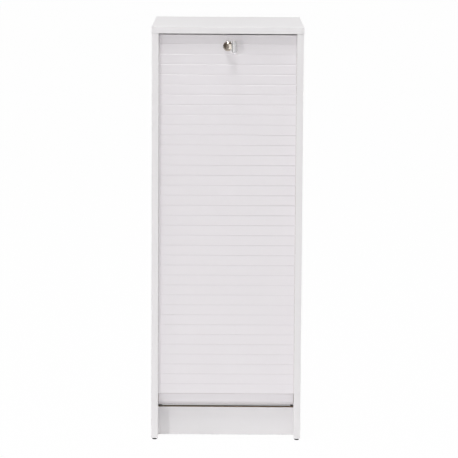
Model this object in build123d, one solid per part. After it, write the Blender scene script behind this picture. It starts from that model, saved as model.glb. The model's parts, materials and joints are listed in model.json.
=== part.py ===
from build123d import *
import os
from math import cos, pi, radians, sin, tan

# A tall, narrow storage cabinet closed by a tambour: a curtain of slats that slides down the front in grooves,
# turns under the floor and climbs behind the inner back. Its lead rail carries a cam lock with a folding key.
#
# Millimetres. +X is to the right, -Y is the front, +Z is up. The origin is on the ground, in the middle of
# the whole object's footprint, the key included. A depth is counted backwards from the side panels' front
# edges, and back_to() turns it into a Y.

# ---- carcass -------------------------------------------------------------------------------------------
BOARD = 16.0                    # melamine-faced chipboard
BAND = 0.8                      # plastic edge band
TOP_WIDTH = 360.0
TOP_DEPTH = 430.0
HEIGHT = 993.0
GLIDE_HEIGHT = 5.0
TOP_OVERHANG = 1.0              # at each side and at the front
BACK_THICKNESS = 3.0            # hardboard
CARCASS_WIDTH = TOP_WIDTH - 2 * TOP_OVERHANG
CARCASS_DEPTH = TOP_DEPTH - TOP_OVERHANG - BACK_THICKNESS
TOP_UNDERSIDE = HEIGHT - BOARD
OUTER_X = CARCASS_WIDTH / 2
INNER_X = OUTER_X - BOARD
EDGE_ROUND = 0.7                # the eased edges of bands and of the lead rail

# ---- curtain -------------------------------------------------------------------------------------------
PITCH = 24.0                    # from one slat to the next
FRONT_SLATS = 34                # slats in the front run of the closed curtain, below the lead rail
FLOOR_SLATS = 12                # slats under the floor, before the tail bar
CURTAIN_DEPTH = 12.7            # the curtain's face behind the side panels' front edges
CURTAIN_THICKNESS = 6.0
FOIL = 0.8                      # the face foil that hinges the slats together
CREASE_WIDTH = 2.2
CREASE_DEPTH = 0.6
BEND_START = 112.0              # height at which the front run ends and the bend begins
BEND_TILTS = (25.5, 64.5)       # degrees from vertical of the two slats in the bend
SLAT_GAP = 0.25                 # half of the gap between two slats, behind the foil
SLAT_UNDERCUT = 2.5             # how much shorter a slat is at its back, at each edge
CURTAIN_WIDTH = 2 * INNER_X - 1.6
TONGUE_WIDTH = 2 * INNER_X + 13.0
TONGUE_THICKNESS = 3.2
TONGUE_INSET = 2.0              # a tongue stops this far from its slat's edges
RAIL_HEIGHT = 46.0
RAIL_DEPTH = 16.0
RAIL_CHAMFER = 3.0
RAIL_BEVEL_DEPTH = 12.0         # the long bevel along the rail's upper back edge
RAIL_BEVEL_DROP = 4.0
RAIL_BOTTOM = BEND_START + FRONT_SLATS * PITCH
RAIL_TOP = RAIL_BOTTOM + RAIL_HEIGHT

# ---- the grooves that the curtain runs in --------------------------------------------------------------
GROOVE_WIDTH = 6.4
GROOVE_CUT = 8.0                # into the side panels' inner faces
GROOVE_BEND = 35.0              # radius of the groove's middle line
GROOVE_FRONT = CURTAIN_DEPTH + CURTAIN_THICKNESS / 2
GROOVE_REAR = CARCASS_DEPTH - GROOVE_FRONT
BEND_DROP = PITCH * sum(cos(radians(tilt)) for tilt in BEND_TILTS)
RUN_FACE_Z = BEND_START - BEND_DROP            # the curtain's outer face under the floor
GROOVE_LOW = RUN_FACE_Z + CURTAIN_THICKNESS / 2
GROOVE_REAR_TOP = 880.0         # the rear leg ends blind here and stops the curtain's tail

# ---- inside --------------------------------------------------------------------------------------------
FLOOR_BOTTOM = 92.0
FLOOR_TOP = FLOOR_BOTTOM + BOARD
FLOOR_FRONT = 38.0
SHELF_FRONT = 42.0
FIXED_SHELF_Z = 436.0           # underside
LOOSE_SHELF_Z = 780.0           # underside
INNER_BACK_DEPTH = 395.0
INNER_BACK_THICKNESS = 6.0
INNER_BACK_BOTTOM = 100.0
INNER_BACK_LET_IN = 4.0         # how far it runs into a slot in each side panel
FIXED_SHELF_REAR = INNER_BACK_DEPTH - 2.0
LOOSE_SHELF_GAP = 1.0           # free space at each end of the shelf on pins
PLINTH_DEPTH = 47.0
PLINTH_TOP = 72.7

# ---- fittings ------------------------------------------------------------------------------------------
CAM_R = 7.5
CAM_CUT = 12.5
CAM_SETBACK = 34.0              # from the board's end to the middle of its cam
CAM_SLOT = 1.6
BOLT_R = 3.0
BOLT_HOLE_R = 3.5
THREAD_R = 2.5
BOLT_GRIP = 8.0                 # how deep a bolt is screwed into a face
FITTING_DEPTHS = (70.0, 350.0)
DOWEL_R = 4.0
DOWEL_LENGTH = 28.0
DOWEL_SHORT_END = 8.0           # the part of a dowel that sits in a board's face
TOP_DOWEL_DEPTHS = (110.0, 310.0)
PLINTH_DOWEL_HEIGHTS = (22.0, 55.0)
PIN_R = 2.5
PIN_STEP = 32.0
PIN_REACH = 9.0
PIN_COLLAR_R = 4.0
PIN_DEPTHS = (80.0, 340.0)
PIN_STEPS = (-2, -1, 0, 1)
NAIL_R = 0.9
NAIL_HEAD_R = 2.0
NAIL_HEAD = 0.6
NAIL_LENGTH = 20.0
NAIL_HEIGHTS = (35.0, 335.0, 635.0, 935.0)
GLIDE_R = 6.0
GLIDE_DEPTHS = (14.0, 400.0)
GLIDE_NAIL_R = 1.2
GLIDE_NAIL = 14.0

# ---- lock and key --------------------------------------------------------------------------------------
LOCK_Z = RAIL_TOP - 27.0
ROSETTE_R = 11.5
ROSETTE_PROUD = 3.2
HOUSING_R = 9.0
HOUSING_END = 32.5              # depth of the housing's rear end
PLUG_R = 7.0
RUNNING = 0.05                  # radial clearance of a turning fit
SLIDING = 0.1                   # clearance of the blade in its keyway, at each face
PLUG_FACE = 10.0                # depth of the plug's front face
NUT_ACROSS = 22.0
NUT_THICKNESS = 3.5
STUB = 7.0                      # side of the square end that drives the hook
HOOK_FRONT = 33.2
HOOK_THICKNESS = 2.5
HOOK_HUB_R = 7.0
HOOK_INNER_R = 18.5
HOOK_OUTER_R = 23.5
HOOK_HALF_SPAN = 20.0           # degrees that the hook reaches to each side of its middle
HOOK_ARM_SPAN = 18.0            # degrees that the arm takes behind the hook
STRIKE_GAUGE = 2.0
STRIKE_FRONT = 38.5
STRIKE_REAR = 62.0
STRIKE_HALF_WIDTH = 15.0
TAB_HALF_WIDTH = 4.0
TAB_TOP = LOCK_Z + HOOK_INNER_R - 1.0
TAB_THICKNESS = 3.0
TAB_FRONT = 33.0
STRIKE_SCREW_R = 1.75
STRIKE_SCREW_HEAD_R = 3.4
STRIKE_SCREW_X = 9.0
BLADE_THICKNESS = 2.2
BLADE_HEIGHT = 8.0
BLADE_END = 27.0                # depth of the blade's tip, inside the plug
KEY_CUT = 1.4                   # depth of the cuts along the blade
KEY_CUT_DEPTHS = (14.0, 17.0, 20.0, 23.0)
PIVOT_DEPTH = 2.0               # the key's hinge, in front of the plug
KNUCKLE_R = 2.4
KNUCKLE_HEIGHT = 7.0
KEY_PIN_R = 0.75
KEY_FOLD = 52.0                 # degrees that the bow is turned to the right at rest
TANG_HEIGHT = 12.0
TANG_REACH = 15.0
BOW_START = 12.0
BOW_REACH = 27.0
BOW_HEIGHT = 30.0
BOW_THICKNESS = 3.6
BOW_CORNER = 7.4
BOW_RIM = 3.2
BOW_RECESS = 0.8

# The bow's tip is the foremost point of the object, and its footprint is centred on the origin.
BOW_TIP = (
    PIVOT_DEPTH
    - BOW_REACH * cos(radians(KEY_FOLD))
    - BOW_THICKNESS / 2 * sin(radians(KEY_FOLD))
)
SIDE_FRONT_Y = -(BOW_TIP + CARCASS_DEPTH + BACK_THICKNESS) / 2


def back_to(depth):
    """The Y of a point that lies this far behind the side panels' front edges."""
    return SIDE_FRONT_Y + depth


def block(x0, x1, d0, d1, z0, z1):
    """A cuboid between two X values, two depths and two heights."""
    corner = Pos(x0, back_to(d0), z0)
    return corner * Box(x1 - x0, d1 - d0, z1 - z0, align=(Align.MIN, Align.MIN, Align.MIN))


def rod_x(x0, x1, depth, z, radius):
    """A round bar along X."""
    middle = Pos((x0 + x1) / 2, back_to(depth), z)
    return middle * Rot(0, 90, 0) * Cylinder(radius, abs(x1 - x0))


def rod_y(x, d0, d1, z, radius):
    """A round bar along Y."""
    middle = Pos(x, back_to((d0 + d1) / 2), z)
    return middle * Rot(90, 0, 0) * Cylinder(radius, abs(d1 - d0))


def rod_z(x, depth, z0, z1, radius):
    """A round bar along Z."""
    return Pos(x, back_to(depth), (z0 + z1) / 2) * Cylinder(radius, abs(z1 - z0))


def prism_x(points, half_width):
    """A bar along X, centred, whose section is a polygon of (depth, height) corners."""
    section = Plane.YZ * make_face(Polyline([(back_to(d), z) for d, z in points], close=True))
    return extrude(section, half_width, both=True)


def prism_y(section, d0, d1):
    """A plate between two depths, from a sketch drawn in X and Z."""
    return extrude(Plane((0, back_to(d0), 0), x_dir=(1, 0, 0), z_dir=(0, -1, 0)) * section, -(d1 - d0))


def both_sides(solid):
    """A solid and its mirror image in the cabinet's middle plane."""
    return [solid, mirror(solid, Plane.YZ)]


def cut(body, tools):
    for tool in tools:
        body = body - tool
    return body


# ---- curtain -------------------------------------------------------------------------------------------
def curtain_hinges():
    """The hinge lines on the curtain's face, as (depth, height), from the start of the bend to the tail."""
    hinges = [(CURTAIN_DEPTH, BEND_START)]
    tilts = BEND_TILTS + (90.0,) * (FLOOR_SLATS + 1)
    for tilt in tilts:
        depth, height = hinges[-1]
        hinges.append((depth + PITCH * sin(radians(tilt)), height - PITCH * cos(radians(tilt))))
    return hinges


def slat(hinge, tilt):
    """One slat hanging from a hinge line, turned from vertical by a tilt in degrees."""
    depth, height = hinge
    length = PITCH - SLAT_GAP
    body = prism_x(
        [
            (depth + FOIL, height - SLAT_GAP),
            (depth + CURTAIN_THICKNESS, height - SLAT_GAP - SLAT_UNDERCUT),
            (depth + CURTAIN_THICKNESS, height - length + SLAT_UNDERCUT),
            (depth + FOIL, height - length),
        ],
        CURTAIN_WIDTH / 2,
    )
    middle = depth + CURTAIN_THICKNESS / 2
    tongue = block(
        -TONGUE_WIDTH / 2,
        TONGUE_WIDTH / 2,
        middle - TONGUE_THICKNESS / 2,
        middle + TONGUE_THICKNESS / 2,
        height - PITCH + TONGUE_INSET,
        height - TONGUE_INSET,
    )
    hinge_axis = Axis((0, back_to(depth), height), (1, 0, 0))
    return (body + tongue).rotate(hinge_axis, tilt)


def curtain_slats():
    return [
        slat((CURTAIN_DEPTH, RAIL_BOTTOM - n * PITCH), 0)
        for n in range(FRONT_SLATS)
    ]


def bend_slats():
    return [slat(hinge, tilt) for hinge, tilt in zip(curtain_hinges(), BEND_TILTS)]


def floor_run_slats():
    first = len(BEND_TILTS)
    return [slat(hinge, 90) for hinge in curtain_hinges()[first:first + FLOOR_SLATS]]


def tail_bar():
    """The stiff last slat, with a rib on its inner face."""
    depth, height = curtain_hinges()[-2]
    rib = block(
        -CURTAIN_WIDTH / 2,
        CURTAIN_WIDTH / 2,
        depth + SLAT_UNDERCUT + SLAT_GAP,
        depth + PITCH - SLAT_UNDERCUT - SLAT_GAP,
        height + CURTAIN_THICKNESS - 1,
        height + CURTAIN_THICKNESS + 2,
    )
    return [slat((depth, height), 90) + rib]


def curtain_foil():
    """The face foil of the front run, with a crease at each hinge line."""
    outline = [(CURTAIN_DEPTH + FOIL, RAIL_BOTTOM), (CURTAIN_DEPTH, RAIL_BOTTOM)]
    for n in range(1, FRONT_SLATS):
        crease = RAIL_BOTTOM - n * PITCH
        outline += [
            (CURTAIN_DEPTH, crease + CREASE_WIDTH / 2),
            (CURTAIN_DEPTH + CREASE_DEPTH, crease),
            (CURTAIN_DEPTH, crease - CREASE_WIDTH / 2),
        ]
    end = BEND_START + SLAT_GAP
    outline += [(CURTAIN_DEPTH, end), (CURTAIN_DEPTH + FOIL, end)]
    return [prism_x(outline, CURTAIN_WIDTH / 2)]


def tail_foil():
    """The same foil from the bend on, round the bend and under the floor."""
    faces, backs = [], []
    tilts = (0.0,) + BEND_TILTS + (90.0,) * (FLOOR_SLATS + 1)
    hinges = curtain_hinges()
    for n, (depth, height) in enumerate(hinges):
        before = tilts[n]
        after = tilts[n + 1] if n + 1 < len(tilts) else tilts[n]
        lean = radians((before + after) / 2)
        reach = FOIL / cos(radians((after - before) / 2))
        faces.append((depth, height))
        backs.append((depth + reach * cos(lean), height + reach * sin(lean)))
    return [prism_x(faces + backs[::-1], CURTAIN_WIDTH / 2)]


def lead_rail():
    """The stiff top of the curtain: two slats high, with a mock crease, tongues and the hole for the lock."""
    front, back = CURTAIN_DEPTH, CURTAIN_DEPTH + RAIL_DEPTH
    crease = RAIL_BOTTOM + PITCH
    body = prism_x(
        [
            (front, RAIL_BOTTOM),
            (front, crease - CREASE_WIDTH / 2),
            (front + CREASE_DEPTH, crease),
            (front, crease + CREASE_WIDTH / 2),
            (front, RAIL_TOP - EDGE_ROUND),
            (front + EDGE_ROUND, RAIL_TOP),
            (back - RAIL_BEVEL_DEPTH, RAIL_TOP),
            (back, RAIL_TOP - RAIL_BEVEL_DROP),
            (back, RAIL_BOTTOM + RAIL_CHAMFER),
            (back - RAIL_CHAMFER, RAIL_BOTTOM),
        ],
        CURTAIN_WIDTH / 2,
    )
    tongue = block(
        -TONGUE_WIDTH / 2,
        TONGUE_WIDTH / 2,
        GROOVE_FRONT - TONGUE_THICKNESS / 2,
        GROOVE_FRONT + TONGUE_THICKNESS / 2,
        RAIL_BOTTOM + TONGUE_INSET,
        RAIL_TOP - TONGUE_INSET,
    )
    return [(body + tongue) - rod_y(0, front - 1, back + 1, LOCK_Z, HOUSING_R)]


# ---- carcass -------------------------------------------------------------------------------------------
def groove_path():
    """The channel for the curtain, as one solid through both side panels' inner faces."""
    span = GROOVE_REAR - GROOVE_FRONT
    rise = 2 * (TOP_UNDERSIDE - GROOVE_LOW)
    middle = Pos(back_to((GROOVE_FRONT + GROOVE_REAR) / 2), TOP_UNDERSIDE)
    ring = RectangleRounded(
        span + GROOVE_WIDTH, rise + GROOVE_WIDTH, GROOVE_BEND + GROOVE_WIDTH / 2
    ) - RectangleRounded(span - GROOVE_WIDTH, rise - GROOVE_WIDTH, GROOVE_BEND - GROOVE_WIDTH / 2)
    channel = extrude(Plane.YZ * (middle * ring), INNER_X + GROOVE_CUT, both=True)
    past_end = block(-OUTER_X, OUTER_X, CARCASS_DEPTH / 2, CARCASS_DEPTH, GROOVE_REAR_TOP, 2 * HEIGHT)
    return channel - past_end


def side_holes():
    """Every hole bored in the right-hand side panel."""
    holes = []
    for depth in FITTING_DEPTHS:
        holes.append(rod_x(INNER_X, INNER_X + CAM_CUT, depth, TOP_UNDERSIDE - CAM_SETBACK, CAM_R))
        holes.append(
            rod_z(INNER_X + BOARD / 2, depth, TOP_UNDERSIDE - CAM_SETBACK, TOP_UNDERSIDE, BOLT_HOLE_R)
        )
        for z in (FLOOR_BOTTOM, FIXED_SHELF_Z):
            holes.append(rod_x(INNER_X, INNER_X + BOLT_GRIP, depth, z + BOARD / 2, THREAD_R))
    dowel_in_edge = DOWEL_LENGTH - DOWEL_SHORT_END
    for depth in TOP_DOWEL_DEPTHS:
        holes.append(
            rod_z(INNER_X + BOARD / 2, depth, TOP_UNDERSIDE - dowel_in_edge, TOP_UNDERSIDE, DOWEL_R)
        )
    for depth in plinth_middles():
        for z in PLINTH_DOWEL_HEIGHTS:
            holes.append(rod_x(INNER_X, INNER_X + DOWEL_SHORT_END, depth, z, DOWEL_R))
    for depth in PIN_DEPTHS:
        for step in PIN_STEPS:
            z = LOOSE_SHELF_Z - PIN_R + step * PIN_STEP
            holes.append(rod_x(INNER_X, INNER_X + BOLT_GRIP, depth, z, PIN_R))
    for depth in GLIDE_DEPTHS:
        holes.append(
            rod_z(INNER_X + BOARD / 2, depth, GLIDE_HEIGHT, GLIDE_HEIGHT + GLIDE_NAIL, GLIDE_NAIL_R)
        )
    nail_in_edge = NAIL_LENGTH - BACK_THICKNESS
    for z in NAIL_HEIGHTS:
        holes.append(
            rod_y(INNER_X + BOARD / 2, CARCASS_DEPTH - nail_in_edge, CARCASS_DEPTH, z, NAIL_R)
        )
    return holes


def side_panel():
    """The right-hand side panel, with its groove, its slot for the inner back and its holes."""
    panel = block(INNER_X, OUTER_X, BAND, CARCASS_DEPTH, GLIDE_HEIGHT, TOP_UNDERSIDE)
    slot = block(
        INNER_X,
        INNER_X + INNER_BACK_LET_IN,
        INNER_BACK_DEPTH,
        INNER_BACK_DEPTH + INNER_BACK_THICKNESS,
        INNER_BACK_BOTTOM,
        TOP_UNDERSIDE,
    )
    return cut(panel, [groove_path(), slot] + side_holes())


def side_edge_bands():
    """The band on each side panel's front edge, eased where it meets the top board."""
    band = block(INNER_X, OUTER_X, 0, BAND, GLIDE_HEIGHT, TOP_UNDERSIDE)
    upper_front = band.faces().sort_by(Axis.Z)[-1].edges().sort_by(Axis.Y)[0]
    return both_sides(chamfer(upper_front, EDGE_ROUND))


def top_panel():
    """The top board inside its edge bands, bored from below."""
    core = block(
        -TOP_WIDTH / 2 + BAND,
        TOP_WIDTH / 2 - BAND,
        -TOP_OVERHANG + BAND,
        TOP_DEPTH - TOP_OVERHANG - BAND,
        TOP_UNDERSIDE,
        HEIGHT,
    )
    holes = []
    x = INNER_X + BOARD / 2
    for depth in FITTING_DEPTHS:
        holes += both_sides(rod_z(x, depth, TOP_UNDERSIDE, TOP_UNDERSIDE + BOLT_GRIP, THREAD_R))
    for depth in TOP_DOWEL_DEPTHS:
        holes += both_sides(rod_z(x, depth, TOP_UNDERSIDE, TOP_UNDERSIDE + DOWEL_SHORT_END, DOWEL_R))
    return [cut(core, holes + strike_screws())]


def top_edge_bands():
    """Bands round the top board's four edges, with their outer corners eased."""
    half, front, rear = TOP_WIDTH / 2, -TOP_OVERHANG, TOP_DEPTH - TOP_OVERHANG
    bands = [
        block(-half, half, front, front + BAND, TOP_UNDERSIDE, HEIGHT),
        block(-half, half, rear - BAND, rear, TOP_UNDERSIDE, HEIGHT),
        block(-half, -half + BAND, front + BAND, rear - BAND, TOP_UNDERSIDE, HEIGHT),
        block(half - BAND, half, front + BAND, rear - BAND, TOP_UNDERSIDE, HEIGHT),
    ]
    outward = (Axis.Y, -Axis.Y, Axis.X, -Axis.X)
    return [
        chamfer([band.faces().sort_by(Axis.Z)[n].edges().sort_by(way)[0] for n in (0, -1)], EDGE_ROUND)
        for band, way in zip(bands, outward)
    ]


def cam_pockets(z):
    """Pockets for cams in a board's underside and the bolt holes that meet them from its ends."""
    tools = []
    for depth in FITTING_DEPTHS:
        x = INNER_X - CAM_SETBACK
        tools += both_sides(rod_z(x, depth, z, z + CAM_CUT, CAM_R))
        tools += both_sides(rod_x(x, INNER_X, depth, z + BOARD / 2, BOLT_HOLE_R))
    return tools


def floor_panel():
    board = block(-INNER_X, INNER_X, FLOOR_FRONT + BAND, INNER_BACK_DEPTH, FLOOR_BOTTOM, FLOOR_TOP)
    return [cut(board, cam_pockets(FLOOR_BOTTOM))]


def fixed_shelf():
    board = block(
        -INNER_X, INNER_X, SHELF_FRONT + BAND, FIXED_SHELF_REAR, FIXED_SHELF_Z, FIXED_SHELF_Z + BOARD
    )
    return [cut(board, cam_pockets(FIXED_SHELF_Z))]


def loose_shelf():
    half = INNER_X - LOOSE_SHELF_GAP
    return [
        block(-half, half, SHELF_FRONT + BAND, FIXED_SHELF_REAR, LOOSE_SHELF_Z, LOOSE_SHELF_Z + BOARD)
    ]


def shelf_edge_bands():
    """Bands on the front edges of the floor and of both shelves."""
    loose = INNER_X - LOOSE_SHELF_GAP
    boards = (
        (INNER_X, FLOOR_FRONT, FLOOR_BOTTOM),
        (INNER_X, SHELF_FRONT, FIXED_SHELF_Z),
        (loose, SHELF_FRONT, LOOSE_SHELF_Z),
    )
    return [block(-half, half, front, front + BAND, z, z + BOARD) for half, front, z in boards]


def inner_back():
    half = INNER_X + INNER_BACK_LET_IN
    rear = INNER_BACK_DEPTH + INNER_BACK_THICKNESS
    return [block(-half, half, INNER_BACK_DEPTH, rear, INNER_BACK_BOTTOM, TOP_UNDERSIDE)]


def back_panel():
    half = OUTER_X - 1
    sheet = block(
        -half, half, CARCASS_DEPTH, CARCASS_DEPTH + BACK_THICKNESS, GLIDE_HEIGHT, TOP_UNDERSIDE
    )
    return [cut(sheet, back_nails())]


def plinth_middles():
    """Depths of the middles of the front and rear plinth boards."""
    return PLINTH_DEPTH + BOARD / 2, CARCASS_DEPTH - BOARD / 2


def plinth(middle):
    board = block(
        -INNER_X, INNER_X, middle - BOARD / 2, middle + BOARD / 2, GLIDE_HEIGHT, PLINTH_TOP
    )
    holes = []
    for z in PLINTH_DOWEL_HEIGHTS:
        holes += both_sides(rod_x(INNER_X - DOWEL_LENGTH + DOWEL_SHORT_END, INNER_X, middle, z, DOWEL_R))
    return [cut(board, holes)]


# ---- fittings ------------------------------------------------------------------------------------------
def dowels():
    group = []
    for depth in TOP_DOWEL_DEPTHS:
        top = TOP_UNDERSIDE + DOWEL_SHORT_END
        group += both_sides(rod_z(INNER_X + BOARD / 2, depth, top - DOWEL_LENGTH, top, DOWEL_R))
    for depth in plinth_middles():
        for z in PLINTH_DOWEL_HEIGHTS:
            end = INNER_X + DOWEL_SHORT_END
            group += both_sides(rod_x(end - DOWEL_LENGTH, end, depth, z, DOWEL_R))
    return group


def cam_bolts():
    """Bolts screwed into a face, whose shanks reach to the cams in the joining boards."""
    group = []
    shank = CAM_SETBACK - CAM_R
    for depth in FITTING_DEPTHS:
        x = INNER_X + BOARD / 2
        bolt = rod_z(x, depth, TOP_UNDERSIDE, TOP_UNDERSIDE + BOLT_GRIP, THREAD_R) + rod_z(
            x, depth, TOP_UNDERSIDE - shank, TOP_UNDERSIDE, BOLT_R
        )
        group += both_sides(bolt)
        for z in (FLOOR_BOTTOM + BOARD / 2, FIXED_SHELF_Z + BOARD / 2):
            bolt = rod_x(INNER_X, INNER_X + BOLT_GRIP, depth, z, THREAD_R) + rod_x(
                INNER_X - shank, INNER_X, depth, z, BOLT_R
            )
            group += both_sides(bolt)
    return group


def cam_discs():
    """The cams, each with a screwdriver slot in its open face."""
    group = []
    for depth in FITTING_DEPTHS:
        z = TOP_UNDERSIDE - CAM_SETBACK
        disc = rod_x(INNER_X, INNER_X + CAM_CUT, depth, z, CAM_R)
        slot = block(
            INNER_X, INNER_X + 1.5, depth - 5, depth + 5, z - CAM_SLOT / 2, z + CAM_SLOT / 2
        )
        group += both_sides(disc - slot)
        x = INNER_X - CAM_SETBACK
        for z in (FLOOR_BOTTOM, FIXED_SHELF_Z):
            disc = rod_z(x, depth, z, z + CAM_CUT, CAM_R)
            slot = block(x - CAM_SLOT / 2, x + CAM_SLOT / 2, depth - 5, depth + 5, z, z + 1.5)
            group += both_sides(disc - slot)
    return group


def shelf_pins():
    """Pins in the side panels that the loose shelf rests on, each with a thin collar at the wall."""
    group = []
    z = LOOSE_SHELF_Z - PIN_R
    for depth in PIN_DEPTHS:
        peg = rod_x(INNER_X - PIN_REACH, INNER_X + BOLT_GRIP, depth, z, PIN_R)
        collar = rod_x(INNER_X - LOOSE_SHELF_GAP / 2, INNER_X, depth, z, PIN_COLLAR_R)
        group += both_sides(peg + collar)
    return group


def back_nails():
    group = []
    x = INNER_X + BOARD / 2
    rear = CARCASS_DEPTH + BACK_THICKNESS
    for z in NAIL_HEIGHTS:
        nail = rod_y(x, rear - NAIL_LENGTH, rear, z, NAIL_R) + rod_y(x, rear - NAIL_HEAD, rear, z, NAIL_HEAD_R)
        group += both_sides(nail)
    return group


def glides():
    """Nail-on plastic glides under the side panels, chamfered at the ground."""
    group = []
    x = INNER_X + BOARD / 2
    for depth in GLIDE_DEPTHS:
        foot = rod_z(x, depth, 0, GLIDE_HEIGHT, GLIDE_R)
        foot = chamfer(foot.edges().sort_by(Axis.Z)[0], 1.2)
        nail = rod_z(x, depth, GLIDE_HEIGHT, GLIDE_HEIGHT + GLIDE_NAIL, GLIDE_NAIL_R)
        group += both_sides(foot + nail)
    return group


# ---- lock ----------------------------------------------------------------------------------------------
def lock_rosette():
    """A collar round the plug with two bevels, seated on the rail's face."""
    face = CURTAIN_DEPTH
    hole = PLUG_R + 2 * RUNNING
    section = make_face(
        [
            Line((hole, 0), (ROSETTE_R, 0)),
            Line((ROSETTE_R, 0), (ROSETTE_R, 0.8)),
            Line((ROSETTE_R, 0.8), (ROSETTE_R - 1.0, 2.3)),
            Line((ROSETTE_R - 1.0, 2.3), (ROSETTE_R - 3.4, ROSETTE_PROUD)),
            Line((ROSETTE_R - 3.4, ROSETTE_PROUD), (hole, ROSETTE_PROUD)),
            Line((hole, ROSETTE_PROUD), (hole, 0)),
        ]
    )
    ring = revolve(Plane.XZ * section, Axis.Z)
    return [Pos(0, back_to(face), LOCK_Z) * Rot(90, 0, 0) * ring]


def lock_housing():
    tube = rod_y(0, CURTAIN_DEPTH, HOUSING_END, LOCK_Z, HOUSING_R)
    return [tube - rod_y(0, CURTAIN_DEPTH, HOUSING_END, LOCK_Z, PLUG_R + RUNNING)]


def lock_nut():
    back = CURTAIN_DEPTH + RAIL_DEPTH
    hexagon = RegularPolygon(NUT_ACROSS / 2, 6, major_radius=False) - Circle(HOUSING_R)
    return [prism_y(Pos(0, LOCK_Z) * hexagon, back, back + NUT_THICKNESS)]


def lock_plug():
    """The turning core, with its keyway in front and the square end for the hook behind."""
    core = rod_y(0, PLUG_FACE, HOUSING_END, LOCK_Z, PLUG_R)
    half = STUB / 2
    stub = block(-half, half, HOUSING_END, HOOK_FRONT + HOOK_THICKNESS, LOCK_Z - half, LOCK_Z + half)
    keyway = block(
        -BLADE_THICKNESS / 2 - SLIDING,
        BLADE_THICKNESS / 2 + SLIDING,
        PLUG_FACE,
        BLADE_END + SLIDING,
        LOCK_Z - BLADE_HEIGHT / 2 - SLIDING,
        LOCK_Z + BLADE_HEIGHT / 2 + SLIDING,
    )
    screw_hole = rod_y(0, HOUSING_END - 4, HOOK_FRONT + HOOK_THICKNESS, LOCK_Z, STRIKE_SCREW_R)
    return [core + stub - keyway - screw_hole]


def arc_plate(inner, outer, start, end):
    """A sector of a ring in X and Z about the lock's axis, between two angles in degrees."""
    def at(radius, angle):
        return radius * cos(radians(angle)), radius * sin(radians(angle))

    middle = (start + end) / 2
    return make_face(
        [
            ThreePointArc(at(outer, start), at(outer, middle), at(outer, end)),
            Line(at(outer, end), at(inner, end)),
            ThreePointArc(at(inner, end), at(inner, middle), at(inner, start)),
            Line(at(inner, start), at(outer, start)),
        ]
    )


def lock_hook():
    """The hook points to the left when unlocked, and a quarter turn brings it over the strike's tab."""
    nose = 180 - HOOK_HALF_SPAN
    heel = 180 + HOOK_HALF_SPAN
    outline = (
        Circle(HOOK_HUB_R)
        + arc_plate(HOOK_INNER_R, HOOK_OUTER_R, nose, heel)
        + arc_plate(HOOK_HUB_R - 1, HOOK_OUTER_R, heel, heel + HOOK_ARM_SPAN)
        - Rectangle(STUB, STUB)
    )
    return [prism_y(Pos(0, LOCK_Z) * outline, HOOK_FRONT, HOOK_FRONT + HOOK_THICKNESS)]


def hook_screw():
    back = HOOK_FRONT + HOOK_THICKNESS
    head = rod_y(0, back, back + 2, LOCK_Z, 5.5)
    slot = block(-6, 6, back + 1, back + 2, LOCK_Z - 0.5, LOCK_Z + 0.5)
    return [head - slot + rod_y(0, HOUSING_END - 4, back, LOCK_Z, STRIKE_SCREW_R)]


def strike_plate():
    """A bent plate under the top, whose forward tab the hook turns over."""
    flange = block(
        -STRIKE_HALF_WIDTH,
        STRIKE_HALF_WIDTH,
        STRIKE_FRONT,
        STRIKE_REAR,
        TOP_UNDERSIDE - STRIKE_GAUGE,
        TOP_UNDERSIDE,
    )
    tab_low = TAB_TOP - TAB_THICKNESS
    web = block(
        -TAB_HALF_WIDTH * 2,
        TAB_HALF_WIDTH * 2,
        STRIKE_FRONT,
        STRIKE_FRONT + STRIKE_GAUGE,
        tab_low,
        TOP_UNDERSIDE - STRIKE_GAUGE,
    )
    tab = block(-TAB_HALF_WIDTH, TAB_HALF_WIDTH, TAB_FRONT, STRIKE_FRONT, tab_low, TAB_TOP)
    return [cut(flange + web + tab, strike_screws())]


def strike_screws():
    """Two countersunk screws that hold the strike."""
    depth = (STRIKE_FRONT + STRIKE_GAUGE + STRIKE_REAR) / 2
    low = TOP_UNDERSIDE - STRIKE_GAUGE
    head = Pos(STRIKE_SCREW_X, back_to(depth), low + STRIKE_GAUGE / 2) * Cone(
        STRIKE_SCREW_HEAD_R, STRIKE_SCREW_R, STRIKE_GAUGE
    )
    shank = rod_z(STRIKE_SCREW_X, depth, TOP_UNDERSIDE, TOP_UNDERSIDE + 11, STRIKE_SCREW_R)
    return both_sides(head + shank)


# ---- key -----------------------------------------------------------------------------------------------
def key_blade():
    """The steel blade, cut along its lower edge, with the knuckle that the bow folds on."""
    blade = block(
        -BLADE_THICKNESS / 2,
        BLADE_THICKNESS / 2,
        PIVOT_DEPTH,
        BLADE_END,
        LOCK_Z - BLADE_HEIGHT / 2,
        LOCK_Z + BLADE_HEIGHT / 2,
    )
    low = LOCK_Z - BLADE_HEIGHT / 2
    notches = []
    for depth in KEY_CUT_DEPTHS:
        notches.append(
            prism_x([(depth - KEY_CUT, low), (depth, low + KEY_CUT), (depth + KEY_CUT, low)], BLADE_THICKNESS)
        )
    clear = rod_z(0, PIVOT_DEPTH, LOCK_Z - BLADE_HEIGHT, LOCK_Z - KNUCKLE_HEIGHT / 2, KNUCKLE_R + 1)
    clear_above = rod_z(0, PIVOT_DEPTH, LOCK_Z + KNUCKLE_HEIGHT / 2, LOCK_Z + BLADE_HEIGHT, KNUCKLE_R + 1)
    knuckle = rod_z(
        0, PIVOT_DEPTH, LOCK_Z - KNUCKLE_HEIGHT / 2, LOCK_Z + KNUCKLE_HEIGHT / 2, KNUCKLE_R
    )
    pin_hole = rod_z(0, PIVOT_DEPTH, LOCK_Z - BLADE_HEIGHT, LOCK_Z + BLADE_HEIGHT, KEY_PIN_R)
    return [cut(blade + knuckle, notches + [clear, clear_above, pin_hole])]


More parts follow.
